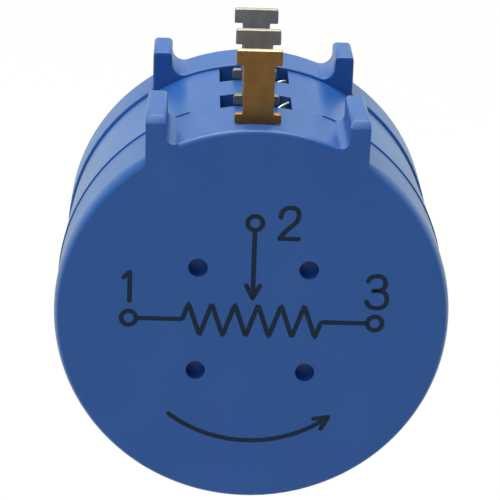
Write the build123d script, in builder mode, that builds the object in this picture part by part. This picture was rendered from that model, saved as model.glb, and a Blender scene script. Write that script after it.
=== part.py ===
from build123d import *
import math
import os

# Multiturn panel potentiometer: a wound helix in a moulded barrel, and a contact carriage
# that the shaft turns and the helix leads along the rotor.
# Millimetres. The origin is on the shaft axis, in the mounting face. The shaft points along +Y,
# the rear cover faces -Y and the solder terminals stand up along +Z.

# Outer mouldings
body_diameter = 22.2
barrel_step = 0.18
rim_step = 0.02
cover_length = 5.29
barrel_length = 8.3
rim_length = 3.48
boss_step = 1.6
boss_length = 1.98
skirt_wall = 1.2
rear_wall = 1.35
front_wall = 3.0
spigot_wall = 0.97
spigot_length = 1.9
spigot_clearance = 0.03
edge_radius = 0.3
edge_angles_deg = (0, 45, 90)
boss_chamfer = 0.4
cut_overrun = 1.0

# Guard lugs on both sides of the terminals
lug_thickness = 1.12
lug_top_radius = 0.25
cover_lug_gap = 10.0
cover_lug_rise = 1.12
cover_lug_fillet = 0.45
cover_lug_chamfer = 0.4
rim_lug_gap = 9.8
rim_lug_rise = 0.65
rim_lug_fillet = 0.7

# Blind holes in the rear face
rear_hole_diameter = 1.1
rear_hole_depth = 0.9
rear_hole_pitch = 6.2

# Tongue of the barrel in the cover's notch
tongue_length = 3.86
tongue_root_width = 6.3
tongue_tip_width = 4.0
tongue_clearance = 0.04
tongue_tip_gap = 0.2
notch_mouth_chamfer = 0.4

# Windows in the barrel, over the ends of the element
window_width = 4.1
rear_window_length = 2.42
front_window_length = 2.79
rear_window_setback = 0.27

# Solder terminals
terminal_height = 4.38
front_terminal_drop = 0.15
rear_terminal_drop = 0.2
rear_terminal_inset = 0.58
terminal_thickness = 0.45
terminal_head_width = 2.55
terminal_head_height = 0.85
terminal_neck_width = 1.72
terminal_foot_width = 2.6
terminal_foot_height = 0.55
terminal_tail_width = 1.6
terminal_seat_clearance = 0.02
tongue_slot_clearance = 0.05

# Wound element
element_turns = 10
element_steps = 18
element_depth = 0.5
element_width = 0.42
element_seat_clearance = 0.02
element_end_margin = 0.785
weld_gap = 0.05

# Link from the front terminal to the element's front end
link_width = 1.0
link_thickness = 0.25
link_tab_length = 0.4

# Bushing
bushing_diameter = 9.525
bushing_length = 7.92
bushing_chamfer = 0.4
bushing_flange_diameter = 12.4
bushing_flange_thickness = 1.0
bushing_neck_diameter = 10.4
bushing_seat_clearance = 0.02

# Shaft
shaft_diameter = 6.35
shaft_reach = 20.62
shaft_running_clearance = 0.03
shaft_end_chamfer = 0.6
driver_slot_width = 1.0
driver_slot_depth = 1.3
shaft_tail_diameter = 4.8
shaft_tail_length = 9.0
shaft_tail_flat = 0.5
shaft_tail_clearance = 0.02

# Retaining ring and thrust washer
end_float = 0.05
ring_width = 1.45
ring_groove_diameter = 5.4
ring_thickness = 0.6
ring_side_clearance = 0.05
ring_opening_deg = 70
washer_width = 1.74
washer_thickness = 0.4
washer_bore_clearance = 0.08

# Rotor
rotor_rear_end = 0.9
guide_width = 3.0
guide_depth = 2.0
guide_wall = 1.5
guide_clearance = 0.05
stop_clearance = 0.2
journal_diameter = 3.1
journal_clearance = 0.04
journal_end_gap = 0.1
socket_depth = 0.75

# Slip ring and collector bar
slip_ring_width = 2.0
slip_ring_thickness = 0.4
bar_width = 1.2
bar_thickness = 0.3

# Carriage and its contacts
carriage_length = 2.0
carriage_lift = 0.85
carriage_recess = 0.2
leaf_thickness = 0.15
leaf_width = 1.1
leaf_base_width = 1.3
wiper_reach_width = 4.6
contact_gap = 0.05
collector_leaf_length = 1.8
collector_leaf_width = 1.1
post_width = 0.6
post_head_width = 1.0
post_head_thickness = 0.2
post_clearance = 0.02

# Slip ring brush
brush_width = 1.2
brush_base_height = 1.2
brush_lean = 1.4

# Radii that several pieces share
body_radius = body_diameter / 2
barrel_radius = body_radius - barrel_step
rim_radius = body_radius - rim_step
boss_radius = body_radius - boss_step
skirt_bore_radius = body_radius - skirt_wall
spigot_radius = skirt_bore_radius - spigot_clearance
bore_radius = spigot_radius - spigot_wall
element_outer_radius = bore_radius - element_seat_clearance
element_inner_radius = element_outer_radius - element_depth
element_track_radius = element_inner_radius * math.cos(math.pi / element_steps)
bushing_radius = bushing_diameter / 2
bushing_neck_radius = bushing_neck_diameter / 2
bushing_flange_radius = bushing_flange_diameter / 2
shaft_radius = shaft_diameter / 2
journal_radius = journal_diameter / 2
ring_groove_radius = ring_groove_diameter / 2
shaft_tail_radius = shaft_tail_diameter / 2
guide_floor = shaft_tail_radius + guide_wall
rotor_radius = guide_floor + guide_depth
ring_inner_radius = ring_groove_radius + ring_side_clearance
ring_outer_radius = ring_inner_radius + ring_width

# Places along the shaft axis, from the mounting face to the rear
rim_front_y = -boss_length
rim_rear_y = rim_front_y - rim_length
barrel_rear_y = rim_rear_y - barrel_length
rear_y = barrel_rear_y - cover_length
front_wall_y = -front_wall
rear_wall_y = rear_y + rear_wall
tongue_tip_y = barrel_rear_y - tongue_length
rear_terminal_y = tongue_tip_y + rear_terminal_inset
rear_window_y = barrel_rear_y + rear_window_setback
front_window_y = rim_rear_y - front_window_length
element_rear_y = rear_window_y + terminal_seat_clearance + terminal_thickness / 2
element_front_y = rim_rear_y - element_end_margin
element_pitch = (element_front_y - element_rear_y) / element_turns
wiper_y = (element_rear_y + element_front_y) / 2
bearing_y = front_wall_y - bushing_flange_thickness
washer_front_y = bearing_y - end_float
rotor_front_y = washer_front_y - washer_thickness
guide_front_y = element_front_y + carriage_length / 2 + stop_clearance
guide_rear_y = element_rear_y - carriage_length / 2 - stop_clearance
rotor_rear_y = guide_rear_y - rotor_rear_end
slip_ring_rear_y = rotor_rear_y - slip_ring_thickness
ring_rear_y = bushing_length + end_float

# Heights above the shaft axis, at the terminals and along the carriage's guide
bar_middle = guide_floor + bar_thickness / 2
bar_top = guide_floor + bar_thickness
carriage_base = guide_floor + carriage_lift
carriage_top = rotor_radius - carriage_recess
foot_base = barrel_radius + terminal_seat_clearance
terminal_top = foot_base + terminal_height
front_terminal_top = terminal_top - front_terminal_drop
rear_terminal_top = terminal_top - rear_terminal_drop


def cross_section(y):
    """The plane across the shaft at y, with X to the right and Z up. Extrusions from it run to the rear."""
    return Plane.XZ.offset(-y)


def turned(outline):
    """Revolves an outline of (radius, y) points about the shaft axis."""
    with BuildSketch(Plane.XY) as section:
        with BuildLine():
            Polyline(*outline, close=True)
        make_face()
    revolve(section.sketch, axis=Axis.Y)


def guard_lugs(base_radius, front_y, length, gap, rise, foot_fillet):
    """Adds two lugs that rise above a hollow fillet at their inner feet, and returns their top's height."""
    inner = gap / 2
    outer = inner + lug_thickness
    wall_middle = (base_radius + skirt_bore_radius) / 2
    root = math.sqrt(wall_middle**2 - (inner + lug_thickness / 2) ** 2)
    centre = Vector(inner - foot_fillet, 0)
    centre.Y = math.sqrt((base_radius + foot_fillet) ** 2 - centre.X**2)
    top = centre.Y + rise
    on_body = centre * (base_radius / centre.length)
    in_wall = centre * (wall_middle / centre.length)
    for side in (Plane.YZ, None):
        with BuildSketch(cross_section(front_y)) as lug:
            with BuildLine():
                Line((inner, centre.Y), (inner, top))
                Line((inner, top), (outer, top))
                Line((outer, top), (outer, root))
                Line((outer, root), in_wall)
                Line(in_wall, on_body)
                RadiusArc(on_body, (inner, centre.Y), -foot_fillet)
            make_face()
            fillet(lug.vertices().group_by(Axis.Y)[-1], lug_top_radius)
            if side:
                mirror(about=side, mode=Mode.REPLACE)
        extrude(lug.sketch, amount=length)
    return top


def terminal_plate(rear_face_y, tail_base, head_top):
    """Adds a flat solder terminal: head, neck and foot above the barrel, and a tail inside it."""
    head_base = head_top - terminal_head_height
    foot_top = foot_base + terminal_foot_height
    levels = (
        (terminal_head_width, head_base, head_top),
        (terminal_neck_width, foot_top, head_base),
        (terminal_foot_width, foot_base, foot_top),
        (terminal_tail_width, tail_base, foot_base),
    )
    with BuildSketch(cross_section(rear_face_y + terminal_thickness)) as plate:
        for width, base, top in levels:
            with Locations((0, (base + top) / 2)):
                Rectangle(width, top - base)
    extrude(plate.sketch, amount=terminal_thickness)


os.makedirs("parts", exist_ok=True)

# Front housing: rim with guard lugs, front wall and mounting boss
bushing_hole_radius = bushing_neck_radius + bushing_seat_clearance
with BuildPart() as front_housing:
    turned(
        (
            (bushing_hole_radius, 0),
            (boss_radius - boss_chamfer, 0),
            (boss_radius, -boss_chamfer),
            (boss_radius, rim_front_y),
            (rim_radius, rim_front_y),
            (rim_radius, rim_rear_y),
            (bore_radius, rim_rear_y),
            (bore_radius, front_wall_y),
            (bushing_hole_radius, front_wall_y),
        )
    )
    guard_lugs(rim_radius, rim_front_y, rim_length, rim_lug_gap, rim_lug_rise, rim_lug_fillet)
front_housing.part.label = "front_housing"
export_step(front_housing.part, "parts/front_housing.step")

# Barrel: tube with a spigot and a tongue at the rear, and two windows over the element
with BuildPart() as barrel:
    with BuildSketch(Plane.XY.offset(bore_radius)):
        with BuildLine():
            Polyline(
                (-tongue_root_width / 2, barrel_rear_y),
                (-tongue_tip_width / 2, tongue_tip_y),
                (tongue_tip_width / 2, tongue_tip_y),
                (tongue_root_width / 2, barrel_rear_y),
                close=True,
            )
        make_face()
    extrude(amount=barrel_radius)
    with BuildSketch(cross_section(barrel_rear_y)):
        Circle(barrel_radius)
        Circle(spigot_radius, mode=Mode.SUBTRACT)
    extrude(amount=cover_length, mode=Mode.INTERSECT)
    turned(
        (
            (bore_radius, rim_rear_y),
            (barrel_radius, rim_rear_y),
            (barrel_radius, barrel_rear_y),
            (spigot_radius, barrel_rear_y),
            (spigot_radius, barrel_rear_y - spigot_length),
            (bore_radius, barrel_rear_y - spigot_length),
        )
    )
    for window_y, window_length in (
        (rear_window_y, rear_window_length),
        (front_window_y, front_window_length),
    ):
        with BuildSketch(Plane.XY):
            with Locations((0, window_y + window_length / 2)):
                Rectangle(window_width, window_length)
        extrude(amount=barrel_radius + cut_overrun, mode=Mode.SUBTRACT)
    tongue_slot = terminal_thickness + 2 * tongue_slot_clearance
    with BuildSketch(Plane.XY):
        with Locations((0, rear_terminal_y + terminal_thickness / 2)):
            Rectangle(terminal_tail_width + 2 * tongue_slot_clearance, tongue_slot)
    extrude(amount=barrel_radius + cut_overrun, mode=Mode.SUBTRACT)
barrel.part.label = "barrel"
export_step(barrel.part, "parts/barrel.step")

# Rear cover: cup with guard lugs, a notch for the tongue, blind holes and the rotor's rear socket
socket_bore_radius = journal_radius + journal_clearance
socket_floor_y = rear_wall_y - socket_depth
rounded_edge = [
    (
        body_radius - edge_radius + edge_radius * math.sin(math.radians(angle)),
        rear_y + edge_radius - edge_radius * math.cos(math.radians(angle)),
    )
    for angle in edge_angles_deg
]
notch_half_root = tongue_root_width / 2 + tongue_clearance
notch_half_tip = tongue_tip_width / 2 + tongue_clearance
notch_half_mouth = notch_half_root + notch_mouth_chamfer
notch_floor = math.sqrt(skirt_bore_radius**2 - notch_half_mouth**2)
with BuildPart() as rear_cover:
    turned(
        (
            (0, rear_y),
            *rounded_edge,
            (body_radius, barrel_rear_y),
            (skirt_bore_radius, barrel_rear_y),
            (skirt_bore_radius, rear_wall_y),
            (socket_bore_radius, rear_wall_y),
            (socket_bore_radius, socket_floor_y),
            (0, socket_floor_y),
        )
    )
    lug_top = guard_lugs(
        body_radius, barrel_rear_y, cover_length, cover_lug_gap, cover_lug_rise, cover_lug_fillet
    )
    with BuildSketch(Plane.YZ):
        with BuildLine():
            Polyline(
                (rear_y, lug_top),
                (rear_y + cover_lug_chamfer, lug_top),
                (rear_y, lug_top - cover_lug_chamfer),
                close=True,
            )
        make_face()
    extrude(amount=body_radius, both=True, mode=Mode.SUBTRACT)
    with BuildSketch(Plane.XY.offset(notch_floor)) as notch:
        with BuildLine():
            Polyline(
                (0, barrel_rear_y + cut_overrun),
                (notch_half_mouth, barrel_rear_y + cut_overrun),
                (notch_half_mouth, barrel_rear_y),
                (notch_half_root, barrel_rear_y - notch_mouth_chamfer),
                (notch_half_tip, tongue_tip_y - tongue_tip_gap),
                (0, tongue_tip_y - tongue_tip_gap),
                close=True,
            )
        make_face()
        mirror(about=Plane.YZ)
    extrude(amount=body_radius, mode=Mode.SUBTRACT)
    with BuildSketch(cross_section(rear_y + rear_hole_depth)):
        with GridLocations(rear_hole_pitch, rear_hole_pitch, 2, 2):
            Circle(rear_hole_diameter / 2)
    extrude(amount=rear_hole_depth, mode=Mode.SUBTRACT)
rear_cover.part.label = "rear_cover"
export_step(rear_cover.part, "parts/rear_cover.step")

# Bushing: neck in the front wall, flange behind it and threaded length in front of it
bushing_bore_radius = shaft_radius + shaft_running_clearance
with BuildPart() as bushing:
    turned(
        (
            (bushing_bore_radius, bushing_length),
            (bushing_radius - bushing_chamfer, bushing_length),
            (bushing_radius, bushing_length - bushing_chamfer),
            (bushing_radius, 0),
            (bushing_neck_radius, 0),
            (bushing_neck_radius, front_wall_y),
            (bushing_flange_radius, front_wall_y),
            (bushing_flange_radius, bearing_y),
            (bushing_bore_radius, bearing_y),
        )
    )
bushing.part.label = "bushing"
export_step(bushing.part, "parts/bushing.step")

# Resistance element: the wound mandrel, led in ten turns of straight steps along the barrel's bore
element_middle_radius = (element_outer_radius + element_inner_radius) / 2
with BuildPart() as resistance_element:
    for step in range(element_turns * element_steps + 1):
        angle = 2 * math.pi * step / element_steps
        radial = Vector(math.sin(angle), 0, math.cos(angle))
        tangent = Vector(math.cos(angle), 0, -math.sin(angle))
        rise = Vector(0, element_rear_y + element_pitch * step / element_steps, 0)
        with BuildSketch(Plane(origin=radial * element_middle_radius + rise, x_dir=radial, z_dir=tangent)):
            Rectangle(element_depth, element_width)
    loft(ruled=True)
resistance_element.part.label = "resistance_element"
export_step(resistance_element.part, "parts/resistance_element.step")

# Terminals: the rear one carries the brush, the other two meet the ends of the element
brush_base = bar_middle + brush_lean
with BuildPart() as terminal_rear:
    terminal_plate(rear_terminal_y, brush_base, rear_terminal_top)
terminal_rear.part.label = "terminal_rear"
export_step(terminal_rear.part, "parts/terminal_rear.step")

with BuildPart() as terminal_middle:
    terminal_plate(rear_window_y + terminal_seat_clearance, element_outer_radius + weld_gap, terminal_top)
terminal_middle.part.label = "terminal_middle"
export_step(terminal_middle.part, "parts/terminal_middle.step")

link_base = element_outer_radius + 2 * weld_gap + link_thickness
with BuildPart() as terminal_front:
    terminal_plate(front_window_y + terminal_seat_clearance, link_base, front_terminal_top)
terminal_front.part.label = "terminal_front"
export_step(terminal_front.part, "parts/terminal_front.step")

# Element link: strip from the front terminal's tail to the element's front end
link_rear_y = front_window_y + terminal_seat_clearance + terminal_thickness
link_front_y = element_front_y + link_tab_length / 2
with BuildPart() as element_link:
    with BuildSketch(Plane.YZ.offset(-link_width / 2)):
        with BuildLine():
            Polyline(
                (link_rear_y, link_base),
                (link_front_y - link_tab_length, link_base),
                (link_front_y - link_tab_length, element_outer_radius + weld_gap),
                (link_front_y, element_outer_radius + weld_gap),
                (link_front_y, link_base + link_thickness),
                (link_rear_y, link_base + link_thickness),
                close=True,
            )
        make_face()
    extrude(amount=link_width)
element_link.part.label = "element_link"
export_step(element_link.part, "parts/element_link.step")

# Brush: bent leaf from the rear terminal's tail to the slip ring
brush_rear_y = rear_terminal_y + terminal_thickness
brush_tip_y = slip_ring_rear_y - contact_gap
with BuildPart() as slip_ring_brush:
    with BuildSketch(Plane.YZ.offset(-brush_width / 2)):
        with BuildLine():
            Polyline(
                (brush_rear_y, brush_base + brush_base_height),
                (brush_rear_y, brush_base),
                (brush_tip_y - leaf_thickness, brush_base - brush_lean),
                (brush_tip_y, brush_base - brush_lean),
                (brush_rear_y + leaf_thickness, brush_base + leaf_thickness),
                (brush_rear_y + leaf_thickness, brush_base + brush_base_height),
                close=True,
            )
        make_face()
    extrude(amount=brush_width)
slip_ring_brush.part.label = "slip_ring_brush"
export_step(slip_ring_brush.part, "parts/slip_ring_brush.step")

# Shaft: driver slot and ring groove in front, flatted tail in the rotor
shaft_tail_y = rotor_front_y - shaft_tail_length
ring_groove_rear_y = ring_rear_y - ring_side_clearance
ring_groove_front_y = ring_rear_y + ring_thickness + ring_side_clearance
with BuildPart() as shaft:
    turned(
        (
            (0, shaft_reach),
            (shaft_radius - shaft_end_chamfer, shaft_reach),
            (shaft_radius, shaft_reach - shaft_end_chamfer),
            (shaft_radius, ring_groove_front_y),
            (ring_groove_radius, ring_groove_front_y),
            (ring_groove_radius, ring_groove_rear_y),
            (shaft_radius, ring_groove_rear_y),
            (shaft_radius, rotor_front_y),
            (shaft_tail_radius, rotor_front_y),
            (shaft_tail_radius, shaft_tail_y),
            (0, shaft_tail_y),
        )
    )
    with BuildSketch(cross_section(shaft_reach)):
        Rectangle(shaft_diameter + cut_overrun, driver_slot_width)
    extrude(amount=driver_slot_depth, mode=Mode.SUBTRACT)
    with BuildSketch(cross_section(rotor_front_y)):
        with Locations((0, -shaft_tail_radius)):
            Rectangle(shaft_tail_diameter, 2 * shaft_tail_flat)
    extrude(amount=shaft_tail_length, mode=Mode.SUBTRACT)
shaft.part.label = "shaft"
export_step(shaft.part, "parts/shaft.step")

# Retaining ring: open ring in the shaft's groove, in front of the bushing
with BuildPart() as retaining_ring:
    with BuildSketch(cross_section(ring_rear_y + ring_thickness)):
        Circle(ring_outer_radius)
        Circle(ring_inner_radius, mode=Mode.SUBTRACT)
        opening_reach = 2 * ring_outer_radius
        opening = opening_reach * math.tan(math.radians(ring_opening_deg / 2))
        with BuildLine():
            Polyline((0, 0), (-opening, -opening_reach), (opening, -opening_reach), close=True)
        make_face(mode=Mode.SUBTRACT)
    extrude(amount=ring_thickness)
retaining_ring.part.label = "retaining_ring"
export_step(retaining_ring.part, "parts/retaining_ring.step")

# Thrust washer between the rotor and the bushing's flange
washer_bore_radius = shaft_radius + washer_bore_clearance
with BuildPart() as thrust_washer:
    with BuildSketch(cross_section(washer_front_y)):
        Circle(washer_bore_radius + washer_width)
        Circle(washer_bore_radius, mode=Mode.SUBTRACT)
    extrude(amount=washer_thickness)
thrust_washer.part.label = "thrust_washer"
export_step(thrust_washer.part, "parts/thrust_washer.step")

# Rotor: drum with a guide slot for the carriage, closed at both ends, and a journal at the rear
tail_bore_radius = shaft_tail_radius + shaft_tail_clearance
journal_end_y = socket_floor_y + journal_end_gap
with BuildPart() as rotor:
    turned(
        (
            (0, rotor_front_y),
            (rotor_radius, rotor_front_y),
            (rotor_radius, rotor_rear_y),
            (journal_radius, rotor_rear_y),
            (journal_radius, journal_end_y),
            (0, journal_end_y),
        )
    )
    with BuildSketch(cross_section(rotor_front_y)):
        Circle(tail_bore_radius)
        with Locations((0, -tail_bore_radius)):
            Rectangle(2 * tail_bore_radius, 2 * shaft_tail_flat, mode=Mode.SUBTRACT)
    extrude(amount=shaft_tail_length + shaft_tail_clearance, mode=Mode.SUBTRACT)
    with BuildSketch(cross_section(guide_front_y)):
        with Locations((0, guide_floor + rotor_radius / 2)):
            Rectangle(guide_width, rotor_radius)
    extrude(amount=guide_front_y - guide_rear_y, mode=Mode.SUBTRACT)
    with BuildSketch(cross_section(guide_rear_y)):
        with Locations((0, bar_middle)):
            Rectangle(bar_width, bar_thickness)
    extrude(amount=rotor_rear_end, mode=Mode.SUBTRACT)
rotor.part.label = "rotor"
export_step(rotor.part, "parts/rotor.step")

# Slip ring on the rotor's rear face, and the collector bar that joins it to the guide
with BuildPart() as slip_ring:
    with BuildSketch(cross_section(rotor_rear_y)):
        Circle(bar_middle + slip_ring_width / 2)
        Circle(bar_middle - slip_ring_width / 2, mode=Mode.SUBTRACT)
    extrude(amount=slip_ring_thickness)
slip_ring.part.label = "slip_ring"
export_step(slip_ring.part, "parts/slip_ring.step")

with BuildPart() as collector_bar:
    with BuildSketch(cross_section(guide_front_y)):
        with Locations((0, bar_middle)):
            Rectangle(bar_width, bar_thickness)
    extrude(amount=guide_front_y - rotor_rear_y)
collector_bar.part.label = "collector_bar"
export_step(collector_bar.part, "parts/collector_bar.step")

# Carriage: block in the guide slot, with a square hole for the contact post
carriage_front_y = wiper_y + carriage_length / 2
post_hole_width = post_width + 2 * post_clearance
with BuildPart() as wiper_carriage:
    with BuildSketch(cross_section(carriage_front_y)):
        with Locations((0, (carriage_base + carriage_top) / 2)):
            Rectangle(guide_width - 2 * guide_clearance, carriage_top - carriage_base)
    extrude(amount=carriage_length)
    with BuildSketch(Plane.XY.offset(carriage_base)):
        with Locations((0, wiper_y)):
            Rectangle(post_hole_width, post_hole_width)
    extrude(amount=carriage_top - carriage_base, mode=Mode.SUBTRACT)
wiper_carriage.part.label = "wiper_carriage"
export_step(wiper_carriage.part, "parts/wiper_carriage.step")

# Wiper contact: leaf with two arms that rise to the element
wiper_half_reach = wiper_reach_width / 2
wiper_tip = math.sqrt((element_track_radius - contact_gap) ** 2 - wiper_half_reach**2)
leaf_top = carriage_top + leaf_thickness
with BuildPart() as wiper_contact:
    with BuildSketch(cross_section(wiper_y + leaf_width / 2)):
        with BuildLine():
            Polyline(
                (0, carriage_top),
                (leaf_base_width / 2, carriage_top),
                (wiper_half_reach, wiper_tip - leaf_thickness),
                (wiper_half_reach, wiper_tip),
                (leaf_base_width / 2, leaf_top),
                (0, leaf_top),
                close=True,
            )
        make_face()
        mirror(about=Plane.YZ)
    extrude(amount=leaf_width)
    with BuildSketch(Plane.XY.offset(carriage_top)):
        with Locations((0, wiper_y)):
            Rectangle(post_hole_width, post_hole_width)
    extrude(amount=leaf_thickness, mode=Mode.SUBTRACT)
wiper_contact.part.label = "wiper_contact"
export_step(wiper_contact.part, "parts/wiper_contact.step")

# Collector contact: bowed leaf under the carriage, with both ends on the collector bar
leaf_base = carriage_base - leaf_thickness
leaf_half_length = collector_leaf_length / 2
leaf_half_base = leaf_base_width / 2
collector_tip = bar_top + contact_gap
with BuildPart() as collector_contact:
    with BuildSketch(Plane.YZ.offset(-collector_leaf_width / 2)):
        with BuildLine():
            Polyline(
                (wiper_y - leaf_half_base, carriage_base),
                (wiper_y - leaf_half_length, collector_tip + leaf_thickness),
                (wiper_y - leaf_half_length, collector_tip),
                (wiper_y - leaf_half_base, leaf_base),
                (wiper_y + leaf_half_base, leaf_base),
                (wiper_y + leaf_half_length, collector_tip),
                (wiper_y + leaf_half_length, collector_tip + leaf_thickness),
                (wiper_y + leaf_half_base, carriage_base),
                close=True,
            )
        make_face()
    extrude(amount=collector_leaf_width)
    with BuildSketch(Plane.XY.offset(leaf_base)):
        with Locations((0, wiper_y)):
            Rectangle(post_hole_width, post_hole_width)
    extrude(amount=leaf_thickness, mode=Mode.SUBTRACT)
collector_contact.part.label = "collector_contact"
export_step(collector_contact.part, "parts/collector_contact.step")

# Contact post: square post staked over both contact leaves, through the carriage
with BuildPart() as contact_post:
    for base, top, width in (
        (leaf_base - post_head_thickness, leaf_base, post_head_width),
        (leaf_base, leaf_top, post_width),
        (leaf_top, leaf_top + post_head_thickness, post_head_width),
    ):
        with BuildSketch(Plane.XY.offset(base)):
            with Locations((0, wiper_y)):
                Rectangle(width, width)
        extrude(amount=top - base)
contact_post.part.label = "contact_post"
export_step(contact_post.part, "parts/contact_post.step")
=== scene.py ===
"""Looks of a multiturn panel potentiometer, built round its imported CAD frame.

Everything is in metres in the row frame: the shaft points along +Y, the rear cover faces -Y
and the solder terminals stand up along +Z.
"""

import logging
import math
from dataclasses import dataclass, replace
from enum import Enum
from typing import Any

import bmesh
import bpy
import numpy as np
from bpy.types import ID, Material, Mesh, NodeSocket, Object, World
from mathutils import Matrix, Vector

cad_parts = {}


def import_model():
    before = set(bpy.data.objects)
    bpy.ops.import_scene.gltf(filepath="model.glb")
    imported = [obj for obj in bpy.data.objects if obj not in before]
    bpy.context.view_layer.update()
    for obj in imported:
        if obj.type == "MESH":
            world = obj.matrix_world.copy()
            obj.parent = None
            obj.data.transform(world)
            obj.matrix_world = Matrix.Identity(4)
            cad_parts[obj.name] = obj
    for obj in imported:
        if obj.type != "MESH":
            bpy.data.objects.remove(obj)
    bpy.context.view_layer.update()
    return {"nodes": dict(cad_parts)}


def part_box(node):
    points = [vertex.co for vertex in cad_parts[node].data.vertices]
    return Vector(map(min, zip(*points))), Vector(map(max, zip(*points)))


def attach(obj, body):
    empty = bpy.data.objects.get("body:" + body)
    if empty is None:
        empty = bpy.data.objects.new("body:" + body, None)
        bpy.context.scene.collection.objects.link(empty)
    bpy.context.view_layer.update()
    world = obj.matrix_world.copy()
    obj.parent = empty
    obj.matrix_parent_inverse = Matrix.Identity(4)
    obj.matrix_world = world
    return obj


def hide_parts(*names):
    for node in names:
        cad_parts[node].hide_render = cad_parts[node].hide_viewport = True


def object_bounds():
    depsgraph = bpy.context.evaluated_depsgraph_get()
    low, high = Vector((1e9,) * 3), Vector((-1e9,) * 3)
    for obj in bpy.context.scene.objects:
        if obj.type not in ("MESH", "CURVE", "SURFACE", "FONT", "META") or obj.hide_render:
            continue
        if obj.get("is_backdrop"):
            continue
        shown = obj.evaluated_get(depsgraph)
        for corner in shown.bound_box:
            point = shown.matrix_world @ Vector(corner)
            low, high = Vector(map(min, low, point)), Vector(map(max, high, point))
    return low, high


log = logging.getLogger("potentiometer")

MM = 0.001
TURN = 2 * math.pi
NOISE_MEAN = 0.5
CAP_RINGS = 4
CAP_START = 0.12
WHITE = (1.0, 1.0, 1.0)
GLOSS_TINT = (0.88, 1.0, 0.94)

Colour = tuple[float, float, float]
Pair = tuple[float, float]
Triple = tuple[float, float, float]
Number = int | float
Skin = tuple[np.ndarray, list[list[int]]]


class Body(Enum):
    """The frame's bodies that new pieces ride on."""

    HOUSING = "housing"
    ROTOR = "rotor_assembly"


class Slot(Enum):
    """The record's material slots."""

    BLUE = "blue_plastic"
    BLACK = "black_plastic"
    PLATE = "plated_brass"
    STEEL = "turned_steel"
    SPRING = "spring_steel"
    BRONZE = "gold_bronze"
    TIN = "tinned_metal"
    WIRE = "resistance_wire"


class Value:
    """An output socket of a shader graph, on which Python's operators add Math nodes."""

    def __init__(self, graph: "Graph", socket: NodeSocket | None) -> None:
        """Wraps an output socket of the graph, or None for a node without outputs."""
        self.graph, self.socket = graph, socket

    def _math(self, operation: str, first: "Value | Number", second: "Value | Number") -> "Value":
        """Adds a Math node on two operands, by Blender's name of its operation."""
        return self.graph.node("ShaderNodeMath", {"operation": operation}, {0: first, 1: second})

    def __add__(self, other: "Value | Number") -> "Value":
        """This plus other."""
        return self._math("ADD", self, other)

    def __radd__(self, other: Number) -> "Value":
        """Other plus this."""
        return self._math("ADD", other, self)

    def __sub__(self, other: "Value | Number") -> "Value":
        """This less other."""
        return self._math("SUBTRACT", self, other)

    def __rsub__(self, other: Number) -> "Value":
        """Other less this."""
        return self._math("SUBTRACT", other, self)

    def __mul__(self, other: "Value | Number") -> "Value":
        """This times other."""
        return self._math("MULTIPLY", self, other)

    def __rmul__(self, other: Number) -> "Value":
        """Other times this."""
        return self._math("MULTIPLY", other, self)

    def between(self, low: Number, high: Number) -> "Value":
        """A smooth step: 0 below low, 1 above high and a smooth rise between them."""
        inputs = {"Value": self, "From Min": low, "From Max": high}
        return self.graph.node("ShaderNodeMapRange", {"interpolation_type": "SMOOTHSTEP"}, inputs)

    def swing(self, depth: float) -> "Value":
        """Noise as a swing about 0, depth wide from end to end."""
        return (self - NOISE_MEAN) * depth


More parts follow.
